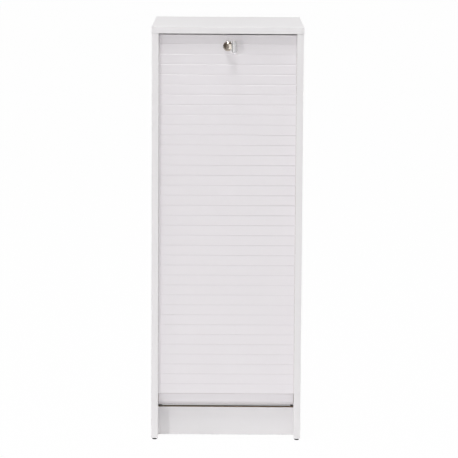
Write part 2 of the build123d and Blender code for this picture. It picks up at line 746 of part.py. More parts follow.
def key_pin():
    return [
        rod_z(0, PIVOT_DEPTH, LOCK_Z - TANG_HEIGHT / 2, LOCK_Z + TANG_HEIGHT / 2, KEY_PIN_R)
    ]


def folded(solid):
    """Turns a piece of the key's bow, built pointing forwards, to where it hangs at rest."""
    return solid.rotate(Axis((0, back_to(PIVOT_DEPTH), 0), (0, 0, 1)), KEY_FOLD)


def key_tang():
    """The steel fork between the knuckle and the bow. Its free end is moulded into the bow."""
    half_thickness = BOW_THICKNESS / 2 - 1
    half_height = TANG_HEIGHT / 2
    plate = block(
        -half_thickness,
        half_thickness,
        PIVOT_DEPTH - TANG_REACH,
        PIVOT_DEPTH,
        LOCK_Z - half_height,
        LOCK_Z + half_height,
    )
    eye = rod_z(0, PIVOT_DEPTH, LOCK_Z - half_height, LOCK_Z + half_height, KNUCKLE_R - 0.4)
    mouth = block(
        -BOW_THICKNESS,
        BOW_THICKNESS,
        PIVOT_DEPTH - KNUCKLE_R - 0.6,
        PIVOT_DEPTH + KNUCKLE_R + 1,
        LOCK_Z - KNUCKLE_HEIGHT / 2 - SLIDING,
        LOCK_Z + KNUCKLE_HEIGHT / 2 + SLIDING,
    )
    pin_hole = rod_z(
        0, PIVOT_DEPTH, LOCK_Z - TANG_HEIGHT, LOCK_Z + TANG_HEIGHT, KEY_PIN_R + RUNNING
    )
    return [folded(plate + eye - mouth - pin_hole)]


def key_bow():
    """The moulded bow: a rounded tile with a raised rim on both faces."""
    length = BOW_REACH - BOW_START
    outline = RectangleRounded(length, BOW_HEIGHT, BOW_CORNER)
    recess = RectangleRounded(length - 2 * BOW_RIM, BOW_HEIGHT - 2 * BOW_RIM, BOW_CORNER - BOW_RIM)
    middle = Pos(back_to(PIVOT_DEPTH - (BOW_START + BOW_REACH) / 2), LOCK_Z)
    tile = extrude(Plane.YZ * (middle * outline), BOW_THICKNESS / 2, both=True)
    floor_at = BOW_THICKNESS / 2 - BOW_RECESS
    pocket = Pos(floor_at, 0, 0) * extrude(Plane.YZ * (middle * recess), BOW_RECESS)
    tang_room = block(
        -BOW_THICKNESS / 2 + 1,
        BOW_THICKNESS / 2 - 1,
        PIVOT_DEPTH - TANG_REACH,
        PIVOT_DEPTH - BOW_START,
        LOCK_Z - TANG_HEIGHT / 2,
        LOCK_Z + TANG_HEIGHT / 2,
    )
    return [folded(cut(tile, both_sides(pocket) + [tang_room]))]


NODES = {
    "top_panel": top_panel,
    "top_edge_bands": top_edge_bands,
    "side_right": lambda: [side_panel()],
    "side_left": lambda: [mirror(side_panel(), Plane.YZ)],
    "side_edge_bands": side_edge_bands,
    "floor_panel": floor_panel,
    "fixed_shelf": fixed_shelf,
    "loose_shelf": loose_shelf,
    "shelf_edge_bands": shelf_edge_bands,
    "shelf_pins": shelf_pins,
    "inner_back": inner_back,
    "back_panel": back_panel,
    "back_nails": back_nails,
    "plinth_front": lambda: plinth(plinth_middles()[0]),
    "plinth_rear": lambda: plinth(plinth_middles()[1]),
    "dowels": dowels,
    "cam_bolts": cam_bolts,
    "cam_discs": cam_discs,
    "glides": glides,
    "lead_rail": lead_rail,
    "curtain_slats": curtain_slats,
    "curtain_foil": curtain_foil,
    "bend_slats": bend_slats,
    "floor_run_slats": floor_run_slats,
    "tail_bar": tail_bar,
    "tail_foil": tail_foil,
    "lock_rosette": lock_rosette,
    "lock_housing": lock_housing,
    "lock_nut": lock_nut,
    "lock_plug": lock_plug,
    "lock_hook": lock_hook,
    "hook_screw": hook_screw,
    "strike_plate": strike_plate,
    "strike_screws": strike_screws,
    "key_blade": key_blade,
    "key_pin": key_pin,
    "key_tang": key_tang,
    "key_bow": key_bow,
}

os.makedirs("parts", exist_ok=True)
for node, build in NODES.items():
    solids = [solid for shape in build() for solid in shape.solids()]
    export_step(solids[0] if len(solids) == 1 else Compound(solids), f"parts/{node}.step")
print(f"side panels' front edges at y = {SIDE_FRONT_Y:.4f}")
print(f"lock axis at z = {LOCK_Z:.4f}, key hinge at y = {back_to(PIVOT_DEPTH):.4f}")
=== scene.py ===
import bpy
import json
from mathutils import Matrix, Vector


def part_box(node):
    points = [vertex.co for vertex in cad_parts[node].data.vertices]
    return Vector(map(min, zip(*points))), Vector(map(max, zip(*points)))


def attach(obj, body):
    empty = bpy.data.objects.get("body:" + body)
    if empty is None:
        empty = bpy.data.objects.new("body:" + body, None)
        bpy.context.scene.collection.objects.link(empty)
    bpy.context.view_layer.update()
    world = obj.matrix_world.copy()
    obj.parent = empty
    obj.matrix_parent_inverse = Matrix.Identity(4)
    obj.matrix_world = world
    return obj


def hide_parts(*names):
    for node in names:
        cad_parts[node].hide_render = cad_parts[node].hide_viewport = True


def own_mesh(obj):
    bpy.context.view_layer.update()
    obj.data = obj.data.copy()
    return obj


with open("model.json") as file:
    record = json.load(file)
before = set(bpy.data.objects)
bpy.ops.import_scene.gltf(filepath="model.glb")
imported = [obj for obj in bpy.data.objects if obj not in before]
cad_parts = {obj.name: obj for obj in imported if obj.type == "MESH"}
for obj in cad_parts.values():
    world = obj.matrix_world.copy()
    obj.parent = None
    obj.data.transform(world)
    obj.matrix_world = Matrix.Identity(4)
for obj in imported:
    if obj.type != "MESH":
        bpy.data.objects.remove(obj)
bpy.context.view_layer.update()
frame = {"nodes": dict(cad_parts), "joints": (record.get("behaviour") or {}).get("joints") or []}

import json
import math

import bmesh
import bpy
from mathutils import Matrix, Vector

# A tall white tambour cabinet: melamine boards, a curtain of foil-hinged slats, a lock and a folding key.
# Metres, in the same frame as the solids: +X right, -Y front, +Z up.
NODES = frame["nodes"]
JOINTS = {joint["name"]: joint for joint in frame["joints"]}
MM = 0.001

# ---- finishes: linear colours with their alpha, and how the shine varies -------------------------------
WHITE_BOARD = (0.900, 0.883, 0.893, 1)
WHITE_BAND = (0.868, 0.850, 0.858, 1)
WHITE_FOIL = (0.870, 0.838, 0.862, 1)
HARDBOARD = (0.72, 0.70, 0.68, 1)
CHIPBOARD_DARK = (0.30, 0.19, 0.10, 1)
CHIPBOARD_PALE = (0.60, 0.45, 0.29, 1)
FIBREBOARD = (0.36, 0.24, 0.14, 1)
BEECH = (0.56, 0.36, 0.18, 1)
ZINC = (0.60, 0.60, 0.62, 1)
NICKEL = (0.60, 0.54, 0.48, 1)
KEY_STEEL = (0.84, 0.78, 0.70, 1)
BLACK_PLASTIC = (0.012, 0.012, 0.013, 1)
BOW_WEB = (0.97, 0.97, 0.97, 1)
BOW_RIM = (0.74, 0.74, 0.75, 1)
CHIPBOARD_ROUGHNESS = 0.85
SHEEN_SPREAD = 0.12

# ---- sizes ---------------------------------------------------------------------------------------------
rail_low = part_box("lead_rail")[0]
face_low, face_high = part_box("curtain_foil")
PITCH = 24 * MM
SLAT_COUNT = round((face_high.z - face_low.z) / PITCH)
CURTAIN_FACE_Y = face_low.y
CURTAIN_HALF_WIDTH = face_high.x + 0.5 * MM
FACE_SKIN = 2.2 * MM
# A crease, in millimetres: how far its upper edge is above the hinge line, its slit as (fall, sink) from
# that edge, and the falls at which the eased edge of the slat below is flat with the face again.
CREASE_EDGE = 0.8
CREASE_SLIT = ((0, 0), (0.02, 1.8), (0.8, 1.8), (0.93, 1.8), (0.95, 0.6))
CREASE_EASE = (2.4, 2.8)
# How open the creases stand: just below the rail, beyond the length that hangs, and across the rail.
OPEN_SHARE = 1.15
CLOSED_SHARE = 0.33
RAIL_SHARE = 0.5
HANGING_LENGTH = 0.6
RAIL_CARVE_DEPTH = 0.7 * MM
# Edges that turn by more than this many degrees are rounded.
SHARP_ANGLE = 35
# Points closer together than WELD become one, and heights that differ by less than TOUCH are the same.
WELD = 1e-6
TOUCH = 1e-9

# ---- the studio's light and its camera -----------------------------------------------------------------
# The part of the floor's light that is plain white. The rest takes the cabinet's shadow.
FLOOR_GLOW = 0.985
FLOOR_WHITE = (0.85, 0.85, 0.85, 1)
ROOM_WHITE = (0.412, 0.412, 0.412, 1)
ROOM_IN_GLOSS = (0.075, 0.062, 0.052, 1)
PURE_WHITE = (1, 1, 1, 1)
LIGHT_TARGET = (0, -0.2, 0.55)
# Each light: its name, turn and rise in degrees, distance, width and height in metres, and watts.
MATT_LIGHTS = (
    ("key_light", -30, 6, 8, 0.7, 2.0, 92),
    ("side_light", -72, 15, 8, 1.0, 1.0, 41),
    ("overhead_light", 0, 72, 6, 1.0, 3.0, 196),
    ("low_fill_light", 0, -4, 4, 1.6, 0.4, 6.0),
)
SHINE_CARDS = (
    ("streak_card", -3, 38, 2, 0.1, 0.9, 38.0),
    ("side_card", -76, -3, 3, 0.8, 0.8, 1.5),
)
CAMERA_PLACE = (0.0038, -6.5252, 1.3724)
CAMERA_LENS = 210.76
# Radians: how far the camera looks down, and its small turns about the vertical and about its own axis.
CAMERA_PITCH = 0.13514
CAMERA_YAW = -0.00022
CAMERA_ROLL = 0.00584


# ---- node helpers --------------------------------------------------------------------------------------
def add_node(tree, kind, **settings):
    """A node with its properties set, and its inputs by name where the key starts with a capital."""
    node = tree.nodes.new(kind)
    for key, value in settings.items():
        if key[0].isupper():
            node.inputs[key.replace("_", " ")].default_value = value
        else:
            setattr(node, key, value)
    return node


def feed(tree, socket, value):
    """Gives an input the output of another node, or else a plain value."""
    if isinstance(value, bpy.types.NodeSocket):
        tree.links.new(value, socket)
    else:
        socket.default_value = value


def calculate(tree, operation, *terms, **settings):
    """The result of a math node. Its terms are plain numbers or the outputs of other nodes."""
    node = add_node(tree, "ShaderNodeMath", operation=operation, **settings)
    for term, socket in zip(terms, node.inputs):
        feed(tree, socket, term)
    return node.outputs[0]


def mix_colors(tree, share, first, second):
    """The mix of two colours, which are plain or the outputs of other nodes, by a share of the second."""
    mix = add_node(tree, "ShaderNodeMix", data_type="RGBA")
    feed(tree, mix.inputs[0], share)
    feed(tree, mix.inputs[6], first)
    feed(tree, mix.inputs[7], second)
    return mix.outputs[2]


def mix_values(tree, share, first, second):
    """The mix of two numbers, which are plain or the outputs of other nodes, by a share of the second."""
    mix = add_node(tree, "ShaderNodeMix")
    feed(tree, mix.inputs[0], share)
    feed(tree, mix.inputs[2], first)
    feed(tree, mix.inputs[3], second)
    return mix.outputs[0]


def new_group(name, inputs, outputs):
    """A shader group with its sockets, and its input and output nodes."""
    tree = bpy.data.node_groups.new(name, "ShaderNodeTree")
    for socket_name, kind, value in inputs:
        socket = tree.interface.new_socket(socket_name, in_out="INPUT", socket_type=kind)
        socket.default_value = value
    for socket_name, kind in outputs:
        tree.interface.new_socket(socket_name, in_out="OUTPUT", socket_type=kind)
    return tree, tree.nodes.new("NodeGroupInput"), tree.nodes.new("NodeGroupOutput")


def pearl_group():
    """The fine pebbled face of melamine and foil, with a faint mottle in its colour."""
    tree, given, result = new_group(
        "pearl_face",
        [
            ("Color", "NodeSocketColor", (1, 1, 1, 1)),
            ("Grain", "NodeSocketFloat", 900.0),
            ("Mottle", "NodeSocketFloat", 0.02),
            ("Roughness", "NodeSocketFloat", 0.4),
            ("Streak", "NodeSocketVector", (1, 1, 1)),
        ],
        [
            ("Color", "NodeSocketColor"),
            ("Roughness", "NodeSocketFloat"),
            ("Height", "NodeSocketFloat"),
        ],
    )
    link = tree.links.new
    place = add_node(tree, "ShaderNodeTexCoord")
    stretch = add_node(tree, "ShaderNodeVectorMath", operation="MULTIPLY")
    link(place.outputs["Object"], stretch.inputs[0])
    link(given.outputs["Streak"], stretch.inputs[1])
    pebble = add_node(tree, "ShaderNodeTexNoise", Detail=2.0, Roughness=0.5)
    link(stretch.outputs[0], pebble.inputs["Vector"])
    link(given.outputs["Grain"], pebble.inputs["Scale"])
    cloud = add_node(tree, "ShaderNodeTexNoise", Scale=7.0, Detail=3.0)
    link(place.outputs["Object"], cloud.inputs["Vector"])
    centred = calculate(tree, "SUBTRACT", cloud.outputs[0], 0.5)
    faint = calculate(tree, "MULTIPLY_ADD", centred, given.outputs["Mottle"], 1.0)
    tint = add_node(tree, "ShaderNodeVectorMath", operation="SCALE")
    link(given.outputs["Color"], tint.inputs[0])
    link(faint, tint.inputs["Scale"])
    sheen = calculate(tree, "MULTIPLY_ADD", centred, SHEEN_SPREAD, given.outputs["Roughness"])
    link(tint.outputs[0], result.inputs["Color"])
    link(sheen, result.inputs["Roughness"])
    link(pebble.outputs[0], result.inputs["Height"])
    return tree


def chips_group():
    """The raw core of chipboard: glued flakes of two browns."""
    tree, given, result = new_group(
        "chipboard_core",
        [("Scale", "NodeSocketFloat", 420.0)],
        [("Color", "NodeSocketColor"), ("Height", "NodeSocketFloat")],
    )
    link = tree.links.new
    place = add_node(tree, "ShaderNodeTexCoord")
    flakes = add_node(tree, "ShaderNodeTexVoronoi")
    link(place.outputs["Object"], flakes.inputs["Vector"])
    link(given.outputs["Scale"], flakes.inputs["Scale"])
    value = add_node(tree, "ShaderNodeSeparateColor")
    link(flakes.outputs["Color"], value.inputs[0])
    shade = mix_colors(tree, value.outputs[0], CHIPBOARD_DARK, CHIPBOARD_PALE)
    link(shade, result.inputs["Color"])
    link(flakes.outputs["Distance"], result.inputs["Height"])
    return tree


def core_mask_group():
    """1 inside a board's thickness, as on a raw edge or in a groove, and 0 on its two faces."""
    tree, given, result = new_group(
        "raw_edge_mask",
        [
            ("Axis", "NodeSocketVector", (0, 0, 1)),
            ("Low", "NodeSocketFloat", 0.0),
            ("High", "NodeSocketFloat", 1.0),
        ],
        [("Mask", "NodeSocketFloat")],
    )
    link = tree.links.new
    place = add_node(tree, "ShaderNodeTexCoord")
    along = add_node(tree, "ShaderNodeVectorMath", operation="DOT_PRODUCT")
    link(place.outputs["Object"], along.inputs[0])
    link(given.outputs["Axis"], along.inputs[1])
    above = calculate(tree, "GREATER_THAN", along.outputs["Value"], given.outputs["Low"])
    below = calculate(tree, "LESS_THAN", along.outputs["Value"], given.outputs["High"])
    link(calculate(tree, "MULTIPLY", above, below), result.inputs["Mask"])
    return tree


def brushed_group():
    """Fine scratches along one axis, and the uneven shine of handled metal."""
    tree, given, result = new_group(
        "brushed_metal",
        [
            ("Streak", "NodeSocketVector", (400, 4000, 4000)),
            ("Roughness", "NodeSocketFloat", 0.25),
            ("Spread", "NodeSocketFloat", 0.15),
        ],
        [("Roughness", "NodeSocketFloat"), ("Height", "NodeSocketFloat")],
    )
    link = tree.links.new
    place = add_node(tree, "ShaderNodeTexCoord")
    stretch = add_node(tree, "ShaderNodeVectorMath", operation="MULTIPLY")
    link(place.outputs["Object"], stretch.inputs[0])
    link(given.outputs["Streak"], stretch.inputs[1])
    lines = add_node(tree, "ShaderNodeTexNoise", Scale=1.0, Detail=3.0)
    link(stretch.outputs[0], lines.inputs["Vector"])
    centred = calculate(tree, "SUBTRACT", lines.outputs[0], 0.5)
    rough = calculate(tree, "MULTIPLY_ADD", centred, given.outputs["Spread"], given.outputs["Roughness"])
    link(rough, result.inputs["Roughness"])
    link(lines.outputs[0], result.inputs["Height"])
    return tree


PEARL = pearl_group()
CHIPS = chips_group()
CORE_MASK = core_mask_group()
BRUSHED = brushed_group()


# ---- materials -----------------------------------------------------------------------------------------
def blank_material(name, **settings):
    """A material with its Principled shader, whose plain inputs are set by name."""
    material = bpy.data.materials.new(name)
    material.use_nodes = True
    tree = material.node_tree
    shader = tree.nodes["Principled BSDF"]
    for key, value in settings.items():
        shader.inputs[key.replace("_", " ")].default_value = value
    return material, tree, shader


def use_group(tree, group, **inputs):
    """A node of a shader group, with its inputs set by name."""
    node = tree.nodes.new("ShaderNodeGroup")
    node.node_tree = group
    for key, value in inputs.items():
        node.inputs[key].default_value = value
    return node


def bump(tree, shader, height, distance, strength):
    """Gives a shader the relief of a height."""
    node = add_node(tree, "ShaderNodeBump", Strength=strength, Distance=distance)
    tree.links.new(height, node.inputs["Height"])
    tree.links.new(node.outputs[0], shader.inputs["Normal"])


def pearl_material(name, color, roughness, grain, depth=0.00002, streak=(1, 1, 1)):
    """A finely pebbled face: edge band, foil, lacquer or moulded plastic."""
    material, tree, shader = blank_material(name, Specular_IOR_Level=0.45)
    face = use_group(tree, PEARL, Color=color, Grain=grain, Roughness=roughness, Streak=streak)
    tree.links.new(face.outputs["Color"], shader.inputs["Base Color"])
    tree.links.new(face.outputs["Roughness"], shader.inputs["Roughness"])
    bump(tree, shader, face.outputs["Height"], distance=depth, strength=0.5)
    return material


def board_material(node, axis):
    """Melamine on the two faces of a board and raw chipboard on its edges and in its grooves."""
    low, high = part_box(node)
    skin = 0.25 * MM
    material, tree, shader = blank_material(f"{node}_melamine", Specular_IOR_Level=0.45)
    face = use_group(tree, PEARL, Color=WHITE_BOARD, Roughness=0.42)
    core = use_group(tree, CHIPS)
    raw = use_group(
        tree,
        CORE_MASK,
        Axis=[1.0 if n == axis else 0.0 for n in range(3)],
        Low=low[axis] + skin,
        High=high[axis] - skin,
    )
    mask = raw.outputs["Mask"]
    color = mix_colors(tree, mask, face.outputs["Color"], core.outputs["Color"])
    rough = mix_values(tree, mask, face.outputs["Roughness"], CHIPBOARD_ROUGHNESS)
    height = mix_values(tree, mask, face.outputs["Height"], core.outputs["Height"])
    tree.links.new(color, shader.inputs["Base Color"])
    tree.links.new(rough, shader.inputs["Roughness"])
    bump(tree, shader, height, distance=0.00003, strength=0.5)
    return material


def metal_material(name, color, roughness, streak=(400, 4000, 4000)):
    """Plated metal with fine scratches along one axis."""
    material, tree, shader = blank_material(name, Metallic=1.0)
    shader.inputs["Base Color"].default_value = color
    lines = use_group(tree, BRUSHED, Streak=streak, Roughness=roughness)
    tree.links.new(lines.outputs["Roughness"], shader.inputs["Roughness"])
    bump(tree, shader, lines.outputs["Height"], distance=0.00001, strength=0.4)
    return material


def turned_material(name, color, roughness, centre):
    """Plated metal turned on a lathe about an axis along Y: its shine runs in rays from the middle."""
    material, tree, shader = blank_material(name, Metallic=1.0, Anisotropic=1.0)
    shader.inputs["Base Color"].default_value = color
    lines = use_group(tree, BRUSHED, Streak=(1500, 1500, 1500), Roughness=roughness, Spread=0.1)
    tree.links.new(lines.outputs["Roughness"], shader.inputs["Roughness"])
    place = add_node(tree, "ShaderNodeTexCoord")
    outward = add_node(tree, "ShaderNodeVectorMath", operation="SUBTRACT")
    outward.inputs[1].default_value = centre
    tree.links.new(place.outputs["Object"], outward.inputs[0])
    tree.links.new(outward.outputs[0], shader.inputs["Tangent"])
    return material


def wood_material(name, color, streak):
    """Beech or fibreboard: fine fibres along one axis."""
    material, tree, shader = blank_material(name, Roughness=0.7)
    fibres = use_group(tree, BRUSHED, Streak=streak, Roughness=0.7, Spread=0.2)
    *channels, opaque = color
    dark = (*[0.7 * channel for channel in channels], opaque)
    shade = mix_colors(tree, fibres.outputs["Height"], dark, color)
    tree.links.new(shade, shader.inputs["Base Color"])
    tree.links.new(fibres.outputs["Roughness"], shader.inputs["Roughness"])
    bump(tree, shader, fibres.outputs["Height"], distance=0.00005, strength=0.5)
    return material


def bow_material():
    """The key bow's smoky plastic: a clear thin web inside a darker, thicker rim."""
    material, tree, shader = blank_material(
        "bow_plastic", IOR=1.47, Coat_Weight=0.2, Transmission_Weight=0.7
    )
    link = tree.links.new
    rim = add_node(tree, "ShaderNodeAttribute", attribute_name="rim")
    face = use_group(tree, PEARL, Grain=300.0, Mottle=0.1, Roughness=0.2)
    link(mix_colors(tree, rim.outputs["Fac"], BOW_WEB, BOW_RIM), face.inputs["Color"])
    link(face.outputs["Color"], shader.inputs["Base Color"])
    link(face.outputs["Roughness"], shader.inputs["Roughness"])
    bump(tree, shader, face.outputs["Height"], distance=0.00002, strength=0.3)
    return material


edge_band = pearl_material("edge_band", WHITE_BAND, 0.38, grain=500.0)
curtain_foil = pearl_material("curtain_foil", WHITE_FOIL, 0.36, grain=700.0, streak=(0.25, 1, 1))
slat_core = wood_material("slat_fibreboard", FIBREBOARD, (300, 3000, 3000))
hardboard = pearl_material("lacquered_hardboard", HARDBOARD, 0.5, grain=350.0, depth=0.00005)
beech = wood_material("beech", BEECH, (900, 900, 900))
zinc = metal_material("zinc_plate", ZINC, 0.32)
nickel = metal_material("nickel_plate", NICKEL, 0.16, streak=(2500, 2500, 700))
turned_nickel = turned_material("turned_nickel", NICKEL, 0.3, JOINTS["lock_turn"]["pos_m"])
key_steel = metal_material("key_steel", KEY_STEEL, 0.18, streak=(2500, 2500, 700))
glide_plastic = pearl_material("glide_plastic", BLACK_PLASTIC, 0.45, grain=600.0)
bow_plastic = bow_material()


# ---- pieces --------------------------------------------------------------------------------------------
def dress(node, material):
    """Gives a solid that stays in view its finish."""
    for place in NODES[node].material_slots:
        place.material = material


def place_piece(name, mesh, body, material, replaces):
    """Puts a finished mesh in the scene, on its body and in the place of the solids it stands for."""
    mesh.materials.clear()
    mesh.materials.append(material)
    piece = bpy.data.objects.new(name, mesh)
    bpy.context.scene.collection.objects.link(piece)
    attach(piece, body)
    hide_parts(*replaces)
    return piece


def settle(source):
    """The plain mesh of an object after its modifiers. The object itself is removed."""
    bpy.context.view_layer.update()
    graph = bpy.context.evaluated_depsgraph_get()
    mesh = bpy.data.meshes.new_from_object(source.evaluated_get(graph))
    bpy.data.objects.remove(source)
    return mesh


def soft_edged(node, width, segments, carve=None):
    """The mesh of a solid with its hard edges rounded by a small radius. What carve adds stays sharp."""
    mesh = NODES[node].data.copy()
    form = bmesh.new()
    form.from_mesh(mesh)
    bmesh.ops.remove_doubles(form, verts=form.verts, dist=WELD)
    bmesh.ops.dissolve_limit(
        form, angle_limit=math.radians(0.5), verts=form.verts, edges=form.edges, delimit={"NORMAL"}
    )
    rounded = form.edges.layers.float.new("bevel_weight_edge")
    for edge in form.edges:
        if edge.is_manifold and edge.calc_face_angle() > math.radians(SHARP_ANGLE):
            edge[rounded] = 1.0
    if carve:
        carve(form)
    form.to_mesh(mesh)
    form.free()
    source = bpy.data.objects.new(node + "_source", mesh)
    bpy.context.scene.collection.objects.link(source)
    bevel = source.modifiers.new("round", "BEVEL")
    bevel.width = width
    bevel.segments = segments
    bevel.limit_method = "WEIGHT"
    bevel.use_clamp_overlap = True
    shade_round(mesh, SHARP_ANGLE)
    flats = source.modifiers.new("flat_faces", "WEIGHTED_NORMAL")
    flats.keep_sharp = True
    return settle(source)


def softened(node, name, width, body, material, segments=2, carve=None):
    """A solid with its hard edges rounded by a small radius, in its own place."""
    place_piece(name, soft_edged(node, width, segments, carve), body, material, [node])


def moulded_bow():
    """The key's bow, with the faces of its thick rim marked apart from its thin web."""
    mesh = soft_edged("key_bow", 0.6 * MM, 3)
    low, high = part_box("key_bow")
    hinge = Vector(JOINTS["bow_fold"]["pos_m"])
    out = (low + high) / 2 - hinge
    out.z = 0
    across = out.normalized().cross(Vector((0, 0, 1)))
    web_half = 1.2 * MM
    rim = mesh.attributes.new("rim", "FLOAT", "FACE")
    for face in mesh.polygons:
        reach = max(abs((mesh.vertices[n].co - hinge).dot(across)) for n in face.vertices)
        rim.data[face.index].value = 1.0 if reach > web_half else 0.0
    place_piece("key_bow_moulded", mesh, "bow", bow_plastic, ["key_bow"])


def shade_round(mesh, angle):
    """Smooth shading, broken at edges sharper than the angle in degrees."""
    mesh.shade_smooth()
    mesh.set_sharp_from_angle(angle=math.radians(angle))


def row_tree():
    """Repeats a piece along a straight row and gives the row its finish."""
    tree = bpy.data.node_groups.new("row_of_pieces", "GeometryNodeTree")
    new_socket = tree.interface.new_socket
    new_socket("Geometry", in_out="INPUT", socket_type="NodeSocketGeometry")
    new_socket("Count", in_out="INPUT", socket_type="NodeSocketInt")
    new_socket("Step", in_out="INPUT", socket_type="NodeSocketVector")
    new_socket("Finish", in_out="INPUT", socket_type="NodeSocketMaterial")
    new_socket("Geometry", in_out="OUTPUT", socket_type="NodeSocketGeometry")
    link = tree.links.new
    given = tree.nodes.new("NodeGroupInput")
    result = tree.nodes.new("NodeGroupOutput")
    line = add_node(tree, "GeometryNodeMeshLine", mode="OFFSET")
    copies = tree.nodes.new("GeometryNodeInstanceOnPoints")
    real = tree.nodes.new("GeometryNodeRealizeInstances")
    finish = tree.nodes.new("GeometryNodeSetMaterial")
    link(given.outputs["Count"], line.inputs["Count"])
    link(given.outputs["Step"], line.inputs["Offset"])
    link(line.outputs["Mesh"], copies.inputs["Points"])
    link(given.outputs["Geometry"], copies.inputs["Instance"])
    link(copies.outputs["Instances"], real.inputs["Geometry"])
    link(real.outputs["Geometry"], finish.inputs["Geometry"])
    link(given.outputs["Finish"], finish.inputs["Material"])
    link(finish.outputs["Geometry"], result.inputs["Geometry"])
    return tree


ROW = row_tree()


def in_a_row(mesh, count, step, material):
    """The mesh of a piece repeated count times, each a step from the last."""
    seed = bpy.data.objects.new("row_seed", mesh)
    bpy.context.scene.collection.objects.link(seed)
    modifier = seed.modifiers.new("row", "NODES")
    modifier.node_group = ROW
    values = {"Count": count, "Step": step, "Finish": material}
    for item in ROW.interface.items_tree:
        if item.in_out == "INPUT" and item.name in values:
            modifier[item.identifier] = values[item.name]
    return settle(seed)


def bar_mesh(name, outline, half_width):
    """A bar along X from a closed outline of (y, z) points, in order with the inside on the left."""
    form = bmesh.new()
    ends = [[form.verts.new((x, y, z)) for y, z in outline] for x in (-half_width, half_width)]
    count = len(outline)
    for n in range(count):
        after = (n + 1) % count
        form.faces.new((ends[0][n], ends[0][after], ends[1][after], ends[1][n]))
    form.faces.new(ends[0][::-1])
    form.faces.new(ends[1])
    bmesh.ops.recalc_face_normals(form, faces=form.faces)
    mesh = bpy.data.meshes.new(name)
    form.to_mesh(mesh)
    form.free()
    return mesh


def crease_line(z, share=1.0):
    """The crease at a hinge line, from above it to below it, as (y, z) on the curtain's face.

    It is a slit under the edge of the slat above, and the eased upper edge of the slat below. A share
    under 1 makes the slit as much narrower and shallower.
    """
    edge = z + CREASE_EDGE * MM
    flat = 0.4 * MM
    above = (CURTAIN_FACE_Y, edge + flat)
    slit = [(CURTAIN_FACE_Y + sink * share * MM, edge - fall * share * MM) for fall, sink in CREASE_SLIT]
    below = [(CURTAIN_FACE_Y, edge - fall * MM) for fall in CREASE_EASE]
    return [above, *slit, *below]


def let_hang(form):
    """Opens the creases by height: wide just below the rail, where the curtain hangs, narrow low down."""
    reach = CREASE_SLIT[-1][0] * MM + 0.05 * MM
    deepest = FACE_SKIN - 0.1 * MM
    for vert in form.verts:
        crease = face_high.z - PITCH * round((face_high.z - vert.co.z) / PITCH)
        edge = crease + CREASE_EDGE * MM
        fall, sink = edge - vert.co.z, vert.co.y - CURTAIN_FACE_Y
        if 0 < fall < reach and sink < deepest:
            hanging = max(0.0, 1 - (face_high.z - crease) / HANGING_LENGTH)
            share = CLOSED_SHARE + (OPEN_SHARE - CLOSED_SHARE) * hanging
            vert.co.z = edge - fall * share
            vert.co.y = CURTAIN_FACE_Y + sink * share


def carve_rail(form):
    """Cuts the mock crease across the lead rail in the manner of the creases between the slats."""
    line = crease_line(rail_low.z + PITCH, RAIL_SHARE)
    for _, z in line:
        parts = form.verts[:] + form.edges[:] + form.faces[:]
        bmesh.ops.bisect_plane(form, geom=parts, dist=1e-7, plane_co=(0, 0, z), plane_no=(0, 0, 1))
    margin = 0.01 * MM
    highest, lowest = line[0][1] + margin, line[-1][1] - margin
    for vert in form.verts:
        if vert.co.y < CURTAIN_FACE_Y + RAIL_CARVE_DEPTH and lowest < vert.co.z < highest:
            vert.co.y = min(line, key=lambda point: abs(point[1] - vert.co.z))[0]


def join_curtain(mesh):
    """Welds the copies of the curtain's face into one closed skin and opens its creases."""
    form = bmesh.new()
    form.from_mesh(mesh)
    bmesh.ops.remove_doubles(form, verts=form.verts, dist=WELD)
    bmesh.ops.holes_fill(form, edges=[e for e in form.edges if e.is_boundary], sides=0)
    bmesh.ops.recalc_face_normals(form, faces=form.faces)
    let_hang(form)
    form.to_mesh(mesh)
    form.free()


